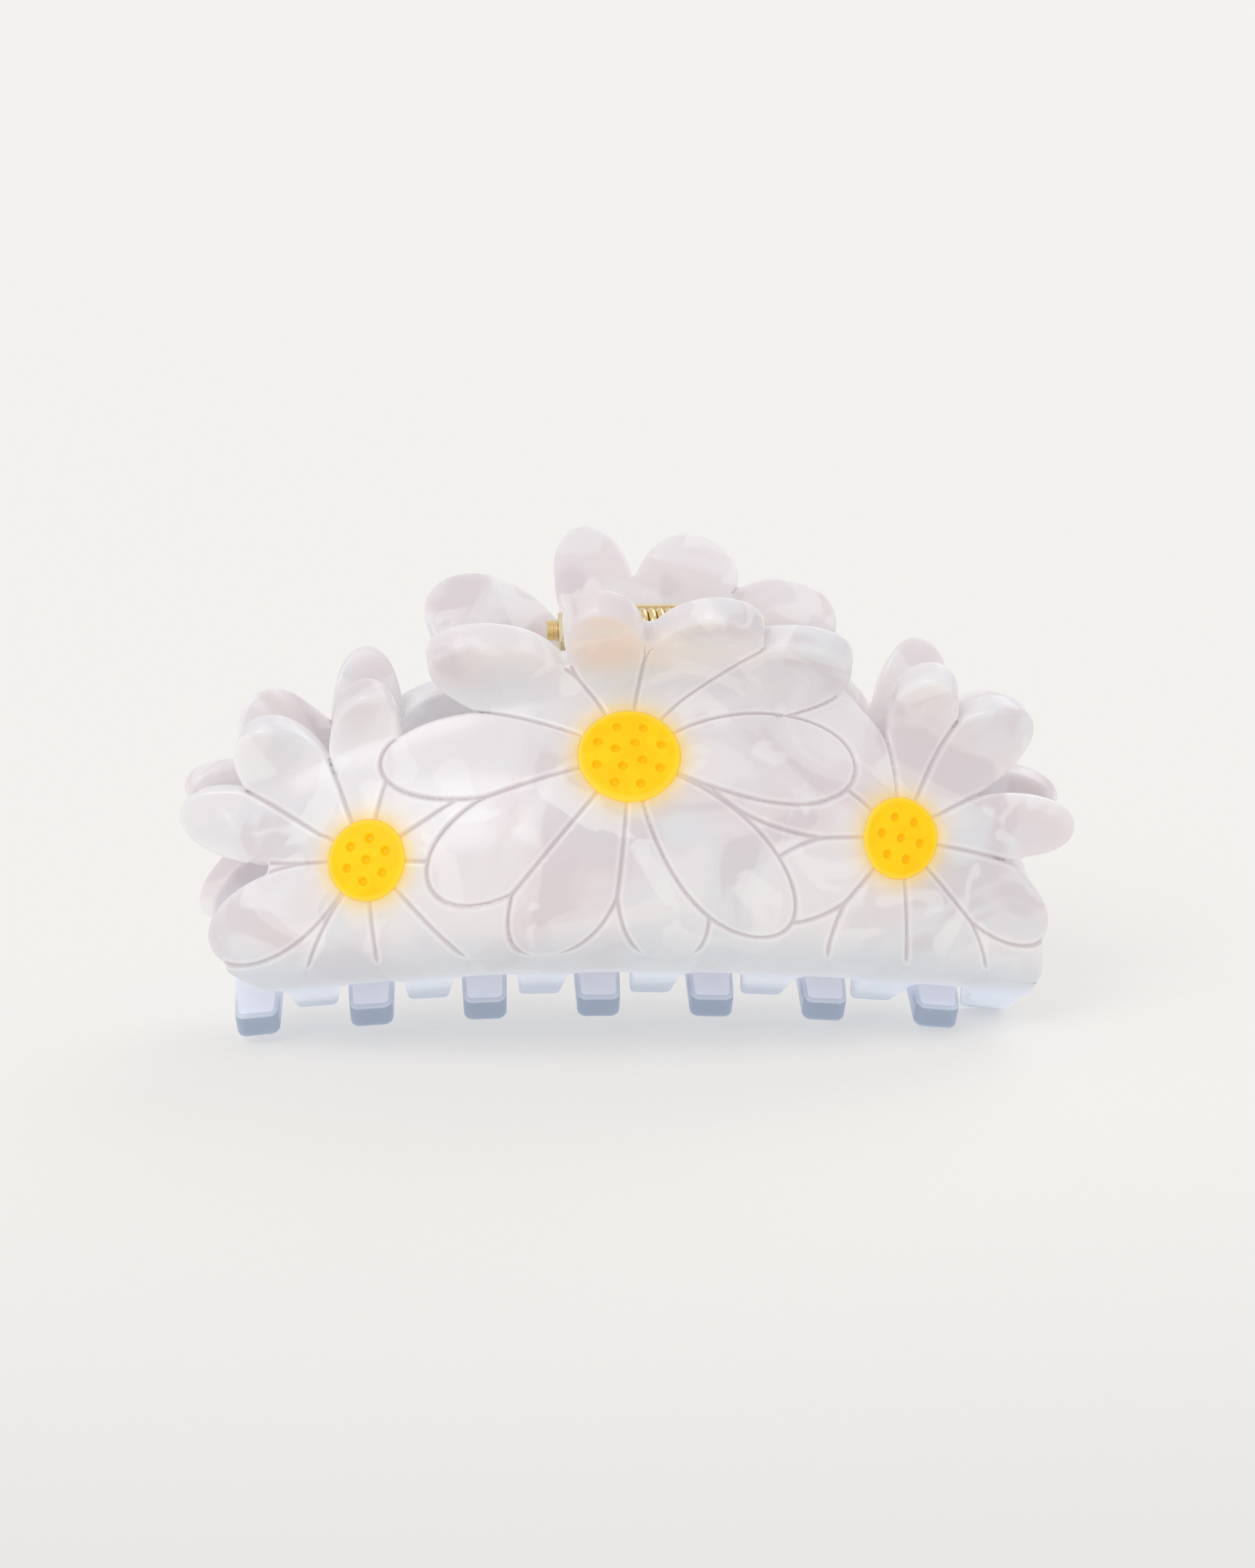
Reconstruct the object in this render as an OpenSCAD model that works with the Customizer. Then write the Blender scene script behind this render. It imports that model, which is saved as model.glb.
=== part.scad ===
// Claw hair clip with three daisies on each jaw. Lengths are in millimetres.
// X runs along the hinge pin, -Y is the front jaw, +Z is up. The closed clip stands on its
// teeth, with the origin under the middle of its footprint.

/* [Sheet] */
// Thickness of the acetate sheet that both jaws are cut and bent from
sheet_t = 3.6; // [3.2:0.1:3.8]
// Distance from the middle of the clip at which the bend has reached its end profile
arch_half = 54; // [50:1:58]
// How far the crown of the tooth line lies left of the middle
tooth_line_shift = 6; // [0:1:8]

/* [Teeth] */
// Number of teeth on each jaw
tooth_count = 7; // [5:1:7]
// Distance between neighbouring teeth of one jaw
tooth_pitch = 13.95; // [13.6:0.05:14.2]
// Width of a tooth where it leaves the sheet
tooth_root_w = 6.6; // [5.5:0.1:6.8]
// Width of a tooth at its tip
tooth_tip_w = 5.2; // [4:0.1:5.4]
// Middle of the first front tooth
front_tooth_x = -38.7; // [-39.2:0.1:-38.2]
// Middle of the first back tooth, half a pitch outside the first front one
back_tooth_x = -45.7; // [-46.2:0.1:-45.2]

/* [Flower centres] */
// Diameter of the middle flower's yellow centre
middle_disc_d = 12.2; // [10:0.2:13]
// Diameter of the two outer flowers' yellow centres
side_disc_d = 9.8; // [8:0.2:10.4]
// How far a yellow centre stands above the petals
disc_proud = 0.2; // [0.1:0.05:0.6]
// How far a yellow centre is let into the sheet
disc_sunk = 1.4; // [1:0.1:1.8]
// Diameter of the drilled dimples
dimple_d = 1.1; // [0.8:0.1:1.3]
// Depth of the drilled dimples
dimple_depth = 0.7; // [0.4:0.1:1]

/* [Hinge] */
// Height of the hinge pin above the tooth tips
pin_z = 50.7; // [50.4:0.1:51]
// Middle of the hinge along the clip
hinge_x = 3.45; // [3.2:0.05:4.2]
// Diameter of the hinge pin
pin_d = 1.4; // [1.2:0.1:1.6]
// Radial play of the pin in the knuckles
pin_play = 0.05; // [0.03:0.01:0.09]
// Thickness of the stamped metal leaves
leaf_t = 0.8; // [0.6:0.1:0.9]
// Radius of the rounded end of a knuckle
knuckle_r = 2.2; // [1.8:0.1:2.3]
// Diameter of the ribbed caps on the pin's ends
cap_d = 2.6; // [2.3:0.1:3]
// Diameter of the spring wire
wire_d = 0.95; // [0.8:0.05:1]
// Distance between neighbouring turns of the spring
spring_pitch = 1.05; // [1.02:0.01:1.1]

/* [Hidden] */

pearl = "#e8e2e4";
yellow = "#ffcd14";
gold = "#d9b25a";
gold_dark = "#c49a45";

half_t = sheet_t / 2;
// Clearance between two solids that touch in the real clip
e = 0.02;
// More than the depth of one jaw, for cutting the bent sheet along Y
cut_depth = 60;

// The bent sheet's middle, as [distance from the hinge plane, height], from the top of the
// finger tab (station 0) over the waist (3) and the bulge (6) to the tooth tips (10).
middle_profile = [[24.2, 63], [18.8, 57], [10.2, 52.2], [8.2, 44.4], [16.4, 38.6], [21, 31.8],
                  [23.4, 23.2], [19.2, 14.6], [10.2, 12], [2.2, 8.3], [-5.8, 4.4]];
end_profile = [[4, 41.5], [4.3, 37.1], [4.8, 32.5], [5.5, 27.7], [6, 23], [6, 18],
               [6, 12.5], [5.7, 7.4], [3.2, 4.4], [-1.4, 2.7], [-5.8, 1.3]];
last = len(middle_profile) - 1;

// Station at which the slots between the teeth begin, and the tooth tips' station
slot_t = 7.35;
tip_t = 10;
tooth_overlap_t = 0.25;
tooth_corner = 1.4;
tooth_inset = 0.05;

// Stations between which the sheet's crown moves over by tooth_line_shift
shift_from_t = 4.5;
shift_to_t = 7;

// Grid of the bent sheet: distances along the clip, and stations down to the tooth slots
sheet_xs = [for (i = [-18 : 18]) i * 3.2];
sheet_ts = [for (i = [0 : 20]) 0.2 + (slot_t - 0.2) * i / 20];

// Each flower: [x, station, disc diameter, hub radius, first dimple angle, petals]. A petal is
// [angle, length, width], laid out on the flat sheet around the flower's middle. A few petals
// of the back jaw are turned and longer, by their last two values.
flowers = [
    [-31.3, 5.11, side_disc_d, 12, 20,
        [[92, 24.8, 8.4], [126, 26.8, 9.5], [151, 26.4, 8.3],
         [-161, 19.8, 9.8, 0, 2.2], [-105, 16, 9], [-66, 16, 10]]],
    [-0.7, 4.02, middle_disc_d, 17, 18,
        [[98, 29.3, 9.4], [63, 30, 12.2, 3, 0], [37.5, 33.2, 12.8], [3.5, 26.8, 11.8],
         [-51, 26.3, 11.6], [-77.5, 25.8, 10.5], [-115, 26.3, 11.5], [-146, 26.7, 12],
         [172, 29.2, 12], [137, 31.8, 12.3]]],
    [31.2, 4.79, side_disc_d, 12, 45,
        [[77.5, 26.7, 8.1, -2.5, -1.7], [54.5, 27.8, 8.9, -7, -1.2], [18.5, 24.3, 7.8],
         [-17.5, 20, 8.9], [-63, 16, 9], [-104, 16, 9.8], [121, 22, 11.5]]]
];

// Web between the two petals over the hinge, which makes their notch shallower
web_angle = 82;
web_distance = 16.5;
web_r = 3.8;
web_middle = web_distance * [cos(web_angle), sin(web_angle)];

// Shape of a petal: radius of its root, and where its belly lies and how wide its tip is, as
// shares of its length and width
root_r = 1.5;
root_share = 0.3;
belly_share = 0.62;
tip_share = 0.34;

// Fit of a yellow centre: its play in the pocket, and the patch of sheet that it is cut from
disc_play = 0.1;
patch_margin = 4.5;

// Lower part of the jaw under the flowers, as [x, station]
body_outline = [[-44, slot_t], [-48.5, 6.7], [-49.5, 5.9], [-40, 5], [-25, 4.3], [0, 3.6],
                [25, 4], [40, 4.8], [50, 5.6], [50.5, 6.7], [49, slot_t]];

// Hinge stations along the pin, measured from the middle of the hinge
side_gap = 0.15;
front_ear_out = 11.9;
front_ear_in = front_ear_out - leaf_t;
back_ear_out = front_ear_in - side_gap;
back_ear_in = back_ear_out - leaf_t;
cap_len = 1.3;
cap_ribs = 2;
leaf_y = 7.35;
leaf_bottom = pin_z - 5.9;
leaf_top = pin_z + 1.6;
prong_d = 1.2;
prong_len = 1.6;
prong_z = pin_z - 3;
prong_step = 8;
ear_step = 0.6;
knuckle_angle = 67.5;
cap_gap = 0.1;
pin_sunk = 0.3;
cap_wall_end = 0.3;
cap_groove = 0.15;

coil_r = 2.2;
coil_turns = 17;
coil_steps = 12;
wire_sides = 6;
leg_rest_y = leaf_y - leaf_t - wire_d / 2 - e;

// Uniform cubic B-spline through a list of control points
function weights(f) = [pow(1 - f, 3), 3 * pow(f, 3) - 6 * f * f + 4,
                       -3 * pow(f, 3) + 3 * f * f + 3 * f + 1, pow(f, 3)] / 6;
function control(list, i) =
    i < 0 ? 2 * list[0] - list[1] :
    i > last ? 2 * list[last] - list[last - 1] : list[i];
function spline(list, t) =
    let (i = max(0, min(last - 1, floor(t))), w = weights(t - i))
    w[0] * control(list, i - 1) + w[1] * control(list, i)
    + w[2] * control(list, i + 1) + w[3] * control(list, i + 2);

// How much of the middle profile the bend has at x, station t
function arch(x, t) =
    let (moved = (t - shift_from_t) / (shift_to_t - shift_from_t),
         shift = tooth_line_shift * max(0, min(1, moved)))
    1 - pow((x + shift) / arch_half, 2);

// Point in the middle of the sheet, its outward direction, and a point off the middle
function mid(x, t) =
    let (k = arch(x, t), p = spline(end_profile, t) * (1 - k) + spline(middle_profile, t) * k)
    [x, -p[0], p[1]];
function outward(x, t) =
    let (d = 0.01, n = cross(mid(x, t + d) - mid(x, t - d), mid(x + d, t) - mid(x - d, t)))
    n / norm(n);
function off(x, t, h) = mid(x, t) + h * outward(x, t);

// Length of sheet between two stations at x, and the front view of a flat point near a flower
function station_len(x) = 4.9 + 3.9 * arch(x, 0);
function seen(x, t) = [x, max(mid(x, t)[2], off(x, t, -half_t)[2])];
function laid(flower, p) =
    let (x = flower[0] + p[0])
    seen(x, flower[1] - p[1] / station_len(x));

// Closed solid between two heights off the middle of the sheet, over a grid of x and stations
module bent_sheet(xs, ts, low, high) {
    nx = len(xs);
    nt = len(ts);
    count = nx * nt;
    outer = [for (t = ts) for (x = xs) off(x, t, high)];
    inner = [for (t = ts) for (x = xs) off(x, t, low)];
    rim = concat(
        [for (i = [0 : nx - 1]) i],
        [for (j = [1 : nt - 1]) j * nx + nx - 1],
        [for (i = [nx - 2 : -1 : 0]) (nt - 1) * nx + i],
        [for (j = [nt - 2 : -1 : 1]) j * nx]);
    faces = [
        for (j = [0 : nt - 2])
            for (i = [0 : nx - 2])
                let (a = j * nx + i, b = a + 1, c = a + nx, d = c + 1)
                each [[a, b, c], [b, d, c], [a + count, c + count, b + count],
                      [b + count, c + count, d + count]],
        for (k = [0 : len(rim) - 1])
            let (a = rim[k], b = rim[(k + 1) % len(rim)])
            each [[a, a + count, b], [b, a + count, b + count]]
    ];
    polyhedron(points = concat(outer, inner), faces = faces, convexity = 8);
}

// Front view of a circle drawn on the flat sheet
module laid_circle(flower, p, r) {
    polygon([for (a = [0 : 20 : 340]) laid(flower, p + r * [cos(a), sin(a)])]);
}

// A petal: a narrow root, a full belly and a rounded tip
module petal(flower, angle, length, width) {
    along = [cos(angle), sin(angle)];
    tip_r = width * tip_share;
    hull() {
        laid_circle(flower, along * flower[2] * root_share, root_r);
        laid_circle(flower, along * length * belly_share, width / 2);
        laid_circle(flower, along * (length - tip_r), tip_r);
    }
}

// Front view of one flower, and of the sheet under the flowers
function back_change(p, i, is_back) = is_back && !is_undef(p[i]) ? p[i] : 0;
module flower_view(flower, is_back) {
    laid_circle(flower, [0, 0], flower[3]);
    for (p = flower[5])
        petal(flower, p[0] + back_change(p, 3, is_back), p[1] + back_change(p, 4, is_back), p[2]);
}

module body_view() {
    polygon([for (p = body_outline) seen(p[0], p[1])]);
}

// A tooth, swept along the bend, narrowing to a rounded tip
module tooth(x) {
    root_t = slot_t - tooth_overlap_t;
    ts = [for (i = [0 : 8]) root_t + (tip_t - root_t) * i / 8];
    intersection() {
        bent_sheet([for (i = [-1 : 0.5 : 1]) x + i * tooth_root_w / 2], ts,
                   tooth_inset - half_t, half_t - tooth_inset);
        tooth_view(x);
    }
}

// The tooth's outline, seen from above
module tooth_view(x) {
    root_y = mid(x, slot_t - 2 * tooth_overlap_t)[1] - sheet_t;
    tip_y = mid(x, tip_t)[1];
    linear_extrude(height = cut_depth)
        hull() {
            translate([x - tooth_root_w / 2, root_y])
                square([tooth_root_w, sheet_t]);
            for (side = [-1, 1])
                translate([x + side * (tooth_tip_w / 2 - tooth_corner), tip_y - tooth_corner])
                    circle(r = tooth_corner, $fn = 24);
        }
}

// Moves a solid made along +Z to the outside of the sheet over a flower's middle
module on_flower(flower) {
    n = outward(flower[0], flower[1]);
    translate(off(flower[0], flower[1], half_t))
        rotate([0, acos(n[2]), atan2(n[1], n[0])])
            children();
}

// Round plug of diameter d through the sheet's outside, between two heights, over a flower
module let_in(flower, d, low, high) {
    reach = flower[2] / 2 + patch_margin;
    intersection() {
        on_flower(flower)
            cylinder(h = 3 * sheet_t, d = d, center = true, $fn = 64);
        bent_sheet([for (x = sheet_xs) if (abs(x - flower[0]) < reach) x],
                   [for (t = sheet_ts) if (abs(t - flower[1]) < reach / station_len(flower[0])) t],
                   low, high);
    }
}

// One jaw in the front position: the flowers and the lower sheet, cut from the bent sheet
// along Y, with the pockets for the yellow centres, and the teeth
module jaw(first_tooth_x, is_back) {
    difference() {
        intersection() {
            bent_sheet(sheet_xs, sheet_ts, -half_t, half_t);
            rotate([90, 0, 0])
                linear_extrude(height = cut_depth, center = true)
                    union() {
                        for (f = flowers)
                            flower_view(f, is_back);
                        body_view();
                        laid_circle(flowers[1], web_middle, web_r);
                    }
        }
        for (f = flowers)
            let_in(f, f[2] + 2 * disc_play, half_t - disc_sunk, half_t + disc_sunk);
    }
    for (i = [0 : tooth_count - 1])
        tooth(first_tooth_x + i * tooth_pitch);
}

module front_jaw() {
    color(pearl)
        jaw(front_tooth_x, false);
}

module back_jaw() {
    color(pearl)
        mirror([0, 1, 0])
            jaw(back_tooth_x, true);
}

// A yellow centre that follows the bend, with one ring of dimples, or two on the large one
module disc(flower) {
    large = flower[2] == middle_disc_d;
    rings = large ? [[8, 4.05, flower[4]], [4, 1.75, flower[4] + 45]]
                  : [[6, 2.6, flower[4]], [1, 0, 0]];
    n = outward(flower[0], flower[1]);
    turn = -90 - atan2(n[1], n[0]);
    difference() {
        let_in(flower, flower[2], half_t - disc_sunk + e, half_t + disc_proud);
        on_flower(flower)
            for (ring = rings)
                for (i = [0 : ring[0] - 1])
                    rotate([0, 0, turn + ring[2] + i * 360 / ring[0]])
                        translate([ring[1], 0, disc_proud - dimple_depth])
                            cylinder(h = 2, d = dimple_d, $fn = 24);
    }
}

module front_disc(i) {
    color(yellow)
        disc(flowers[i]);
}

module back_disc(i) {
    color(yellow)
        mirror([0, 1, 0])
            disc(flowers[i]);
}

// An ear of a leaf, from the plate to the pin, with its bore
module ear(x_from, x_to) {
    translate([x_from, 0, 0])
        rotate([90, 0, 90])
            linear_extrude(height = x_to - x_from)
                difference() {
                    union() {
                        polygon([[-leaf_y, leaf_bottom + ear_step], [-leaf_y, leaf_top - ear_step],
                                 [0, pin_z + knuckle_r],
                                 [knuckle_r * cos(knuckle_angle), pin_z - knuckle_r * sin(knuckle_angle)]]);
                        translate([0, pin_z])
                            circle(r = knuckle_r, $fn = 48);
                    }
                    translate([0, pin_z])
                        circle(r = pin_d / 2 + pin_play, $fn = 48);
                }
}

// A leaf in the front position: plate, two ears and three prongs pressed into the sheet
module leaf(ear_in, ear_out) {
    translate([hinge_x - ear_out, -leaf_y, leaf_bottom])
        cube([2 * ear_out, leaf_t, leaf_top - leaf_bottom]);
    ear(hinge_x - ear_out, hinge_x - ear_in);
    ear(hinge_x + ear_in, hinge_x + ear_out);
    for (i = [-1 : 1])
        translate([hinge_x + i * prong_step, -leaf_y + leaf_t / 2, prong_z])
            rotate([90, 0, 0])
                cylinder(h = prong_len + leaf_t / 2, d = prong_d, $fn = 24);
}

module front_hinge_leaf() {
    color(gold)
        leaf(front_ear_in, front_ear_out);
}

module back_hinge_leaf() {
    color(gold)
        mirror([0, 1, 0])
            leaf(back_ear_in, back_ear_out);
}

// Places a solid of revolution made along +Z on the pin's axis, from the hinge's middle
module on_pin() {
    translate([hinge_x, 0, pin_z])
        rotate([0, 90, 0])
            children();
}

module hinge_pin() {
    length = 2 * (front_ear_out + cap_gap + cap_len - pin_sunk);
    color(gold_dark)
        on_pin()
            cylinder(h = length, d = pin_d, center = true, $fn = 48);
}

// Two ribbed caps, each pressed on an end of the pin
module pin_caps() {
    rib = cap_len / (2 * cap_ribs + 1);
    r = cap_d / 2;
    steps = [for (i = [0 : 2 * cap_ribs])
        let (step_r = i % 2 == 0 ? r : r - cap_groove)
        each [[step_r, i * rib], [step_r, (i + 1) * rib]]];
    color(gold)
        for (side = [-1, 1])
            translate([side < 0 ? 2 * hinge_x : 0, 0, 0])
                mirror([side < 0 ? 1 : 0, 0, 0])
                    on_pin()
                        translate([0, 0, front_ear_out + cap_gap])
                            difference() {
                                rotate_extrude($fn = 48)
                                    polygon(concat([[0, 0]], steps, [[0, cap_len]]));
                                translate([0, 0, -1])
                                    cylinder(h = 1 + cap_len - cap_wall_end, d = pin_d + e, $fn = 48);
                            }
}

// The spring's centre line: a leg on the back leaf, the coil, and a leg on the front leaf
function coil_point(i) =
    let (a = 90 + 360 * i / coil_steps, n = coil_turns * coil_steps)
    [hinge_x + (i / n - 0.5) * coil_turns * spring_pitch, coil_r * cos(a), pin_z + coil_r * sin(a)];
function leg(side, p) =
    [hinge_x + side * (coil_turns * spring_pitch / 2 - p[0]), -side * p[1], pin_z + p[2]];
leg_points = [[3.5, leg_rest_y, 0.9], [0.6, leg_rest_y, 0.9], [0, leg_rest_y - 0.7, 1.15],
              [0, coil_r, coil_r - 0.25]];
spring_path = concat(
    [for (p = leg_points) leg(-1, p)],
    [for (i = [0 : coil_turns * coil_steps]) coil_point(i)],
    [for (i = [len(leg_points) - 1 : -1 : 0]) leg(1, leg_points[i])]);

// A wire of round section along a path. The section keeps its turn from ring to ring.
function unit(v) = v / norm(v);
function heading(path, i) = unit(path[min(i + 1, len(path) - 1)] - path[max(i - 1, 0)]);
module wire(path, d) {
    n = len(path);
    rings = [for (i = [0 : n - 1])
        let (h = heading(path, i), out = [0, path[i][1], path[i][2] - pin_z],
             side = unit(out - (out * h) * h), up = cross(h, side))
        [for (k = [0 : wire_sides - 1])
            let (a = 360 * k / wire_sides)
            path[i] + d / 2 * (cos(a) * side + sin(a) * up)]];
    s = wire_sides;
    faces = concat(
        [[for (k = [0 : s - 1]) k]],
        [[for (k = [s - 1 : -1 : 0]) (n - 1) * s + k]],
        [for (i = [0 : n - 2]) for (k = [0 : s - 1])
            let (a = i * s + k, b = i * s + (k + 1) % s)
            each [[a, a + s, b], [b, a + s, b + s]]]);
    polyhedron(points = [for (r = rings) each r], faces = faces, convexity = 12);
}

module torsion_spring() {
    color(gold)
        wire(spring_path, wire_d);
}

front_jaw();
back_jaw();
front_disc(0);  // front_left_disc
front_disc(1);  // front_middle_disc
front_disc(2);  // front_right_disc
back_disc(0);  // back_left_disc
back_disc(1);  // back_middle_disc
back_disc(2);  // back_right_disc
front_hinge_leaf();
back_hinge_leaf();
hinge_pin();
pin_caps();
torsion_spring();
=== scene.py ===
import math

import bmesh
import bpy
import numpy as np
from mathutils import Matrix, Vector


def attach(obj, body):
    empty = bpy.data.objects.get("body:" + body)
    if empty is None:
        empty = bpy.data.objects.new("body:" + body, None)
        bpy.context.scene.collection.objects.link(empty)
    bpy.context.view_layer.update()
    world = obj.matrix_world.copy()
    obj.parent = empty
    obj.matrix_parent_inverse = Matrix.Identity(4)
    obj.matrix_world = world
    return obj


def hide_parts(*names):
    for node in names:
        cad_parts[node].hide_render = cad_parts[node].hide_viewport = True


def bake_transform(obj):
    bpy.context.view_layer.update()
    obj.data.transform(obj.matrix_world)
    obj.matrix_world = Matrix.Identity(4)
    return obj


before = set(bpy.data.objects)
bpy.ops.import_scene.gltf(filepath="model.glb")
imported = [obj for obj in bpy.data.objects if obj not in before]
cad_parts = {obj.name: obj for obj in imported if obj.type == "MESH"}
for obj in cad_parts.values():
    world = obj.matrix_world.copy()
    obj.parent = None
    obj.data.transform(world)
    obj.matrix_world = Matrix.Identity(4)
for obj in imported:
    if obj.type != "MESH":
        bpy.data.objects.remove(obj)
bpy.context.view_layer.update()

# Lengths are in millimetres until mesh_from() scales them to metres.
MM = 0.001
STEP = 0.27

# The acetate sheet and its bend, as the design has them
SHEET_T = 3.6
ARCH_HALF = 54.0
TOOTH_LINE_SHIFT = 6.0
MIDDLE_PROFILE = np.array([
    (24.2, 63), (18.8, 57), (10.2, 52.2), (8.2, 44.4), (16.4, 38.6), (21, 31.8),
    (23.4, 23.2), (19.2, 14.6), (10.2, 12), (2.2, 8.3), (-5.8, 4.4)])
END_PROFILE = np.array([
    (4, 41.5), (4.3, 37.1), (4.8, 32.5), (5.5, 27.7), (6, 23), (6, 18),
    (6, 12.5), (5.7, 7.4), (3.2, 4.4), (-1.4, 2.7), (-5.8, 1.3)])
FLAT_ORIGIN_T = 4.5
SHIFT_STATIONS = 2.5
END_STATION_LEN = 4.9
MIDDLE_STATION_ADDED = 3.9
SLOT_T = 7.35
TIP_T = 10.0
# The jaw's lower part, which joins the flowers to the teeth, as x and station
BODY_OUTLINE = [
    (-43, 9.5), (-44, SLOT_T), (-48.5, 6.7), (-49.5, 5.9), (-40, 5), (-25, 4.3), (0, 3.6),
    (25, 4), (40, 4.8), (50, 5.6), (50.5, 6.7), (49, SLOT_T), (48, 9.5)]

# Teeth
TOOTH_COUNT = 7
TOOTH_PITCH = 13.95
TOOTH_ROOT_W = 6.6
TOOTH_TIP_W = 5.2
TOOTH_CORNER = 1.1
FIRST_TOOTH_X = {"front": -38.7, "back": -45.7}

# Flowers: middle as x and station, disc radius, hub radius and angle of the first dimple.
# A petal is angle, length, width, sideways bend of its tip, and where its belly lies. Those in
# over lie on top. A web fills the notch between two petals: angle and distance of its middle,
# and its radius.
MIDDLE = 0
FLOWERS = [
    dict(name="middle", x=-0.7, t=4.02, disc_r=6.1, hub=17, dimple=18,
         web=(82, 16.5, 3.6),
         over=[(3.5, 26.8, 11.8, 0, .63), (-51, 26.3, 11.6, 1.5, .62)],
         petals=[(98, 29.3, 9.4, 0, .66), (63, 30, 12.2, .5, .68), (37.5, 33.2, 12.8, .5, .66),
                 (-77.5, 25.8, 10.5, -.5, .64), (-115, 26.3, 11.5, -1, .62),
                 (-146, 26.7, 12, -1.5, .62), (172, 29.2, 12, 0, .60), (137, 31.8, 12.3, -1, .62)]),
    dict(name="left", x=-31.3, t=5.11, disc_r=4.9, hub=12, dimple=20, over=[],
         petals=[(92, 24.8, 8.4, 0, .64), (126, 26.8, 9.5, -1, .62), (151, 26.4, 8.3, -1, .62),
                 (-161, 19.8, 9.8, -1, .62), (-105, 22, 9, 0, .62), (-66, 23, 10, 0, .60),
                 (-31, 25, 12, 0, .60), (8, 20, 10, 0, .60), (50, 17, 10, 0, .60)]),
    dict(name="right", x=31.2, t=4.79, disc_r=4.9, hub=12, dimple=45, over=[],
         petals=[(77.5, 26.7, 8.1, 0, .64), (54.5, 27.8, 8.9, 0, .64), (18.5, 24.3, 7.8, 1, .62),
                 (-17.5, 20, 8.9, 1, .62), (-63, 21, 10.4, 0, .60), (-104, 21, 9.8, 0, .60),
                 (-149, 20.5, 7.8, 0, .60), (165, 24, 10, 0, .60), (121, 22, 11.5, 0, .60)]),
]
# Petals of the back jaw that differ: flower and angle, then the turn and the added length
BACK_CHANGES = {("right", 77.5): (-2.5, -1.7), ("right", 54.5): (-7, -1.2),
                ("middle", 63): (3, 0), ("left", -161): (0, 2.2)}

# A petal's root, as a share of its disc's radius, and how fast it widens from there
PETAL_ROOT = 0.35
PETAL_SHARPNESS = 0.75

# Fillets where outlines meet: body and hubs, petals, the web, and the roots of the teeth
HUB_FILLET = 0.6
PETAL_FILLET = 0.5
WEB_FILLET = 1.5
TOOTH_FILLET = 2.6

# Engraving and edges of the sheet
GROOVE_HALF = 0.32
GROOVE_DEPTH = 0.26
NO_LINE = 9.0
FAR_FROM_LINE = 3.0
PETAL_DOME = 0.12
PETAL_DOME_REACH = 1.3
OUTER_ROUND = 0.6
INNER_ROUND = 0.5
ROUND_TURNS = np.radians([22.5, 45, 67.5, 90])

# Yellow centres and their pockets
POCKET_PLAY = 0.01
DISC_SUNK = 1.4
DISC_THICK = 1.0
DISC_PROUD = 0.14
DISC_ROUND = 0.35
DISC_PLAY = 0.02
DIMPLE_R = 0.55
DIMPLE_DEPTH = 0.5
# Dimples in rings: how many, the ring's radius and its turn from the flower's first dimple
MIDDLE_DIMPLE_RINGS = [(8, 4.05, 0), (4, 1.75, 45)]
SIDE_DIMPLE_RINGS = [(6, 2.6, 0), (1, 0, 0)]

# Stations between which the looks change: grooves and lines fade out, the lower edge cools,
# and the teeth's blocks, the painted shade on their undersides and on their dark ends begin
GROOVE_FADE = (6.5, 7.1)
LINE_FADE = (6.6, 7.3)
COOL_FADE = (6.1, 6.9)
BLOCK_FADE = (7.0, 7.5)
UNDERSIDE_SHADE_FADE = (8.4, 9.6)
END_SHADE_FADE = (9.1, 9.8)
# Painted warm light beside the hinge: middle and width of its core and its wider part in x, then in
# station
HINGE_LIGHT_CORE = (-2.8, 4.6)
HINGE_LIGHT_WIDE = (4, 9)
HINGE_LIGHT_T = (1.8, 0.6)

# Grid over the flat sheet: lowest and highest x and height, with room round the outline, and
# the distance between its rows as a share of its step
GRID_LOW = np.array([-58.0, -51.0])
GRID_HIGH = np.array([59.0, 36.0])
ROW_SHARE = 0.866

# Hinge: a leaf's plate spans from LEAF_BELOW under the pin to LEAF_ABOVE over it
PIN_Z = 50.7
HINGE_X = 3.45
PIN_D = 1.4
PIN_PLAY = 0.05
LEAF_T = 0.8
LEAF_Y = 7.35
LEAF_BELOW = 5.9
LEAF_ABOVE = 1.6
LEAF_BEVEL = 0.16
LEAF_CORNER = 1.2
EAR_STEP = 0.6
PRONG_STEP = 8
PRONG_BELOW = 3
KNUCKLE_R = 2.2
SIDE_GAP = 0.15
FRONT_EAR_OUT = 11.9
BACK_EAR_OUT = FRONT_EAR_OUT - LEAF_T - SIDE_GAP
CAP_R = 1.3
CAP_LEN = 1.3
CAP_GAP = 0.1
CAP_RIBS = 5
CAP_GROOVE = 0.16
PIN_SUNK = 0.32
WIRE_D = 0.95
COIL_R = 2.2
COIL_TURNS = 17
SPRING_PITCH = 1.05


# ---------------------------------------------------------------- the bent sheet

def spline(points, t):
    """Uniform cubic B-spline through the control points, at the stations t."""
    last = len(points) - 1
    control = np.vstack([2 * points[0] - points[1], points, 2 * points[-1] - points[-2]])
    i = np.clip(np.floor(t), 0, last - 1).astype(int)
    f = (t - i)[:, None]
    return ((1 - f) ** 3 * control[i] + (3 * f ** 3 - 6 * f ** 2 + 4) * control[i + 1]
            + (-3 * f ** 3 + 3 * f ** 2 + 3 * f + 1) * control[i + 2]
            + f ** 3 * control[i + 3]) / 6


def middle_of_sheet(x, t):
    """Point in the middle of the front jaw's sheet at x, station t."""
    shift = TOOTH_LINE_SHIFT * np.clip((t - FLAT_ORIGIN_T) / SHIFT_STATIONS, 0, 1)
    arch = (1 - ((x + shift) / ARCH_HALF) ** 2)[:, None]
    p = spline(END_PROFILE, t) * (1 - arch) + spline(MIDDLE_PROFILE, t) * arch
    return np.column_stack([x, -p[:, 0], p[:, 1]])


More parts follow.
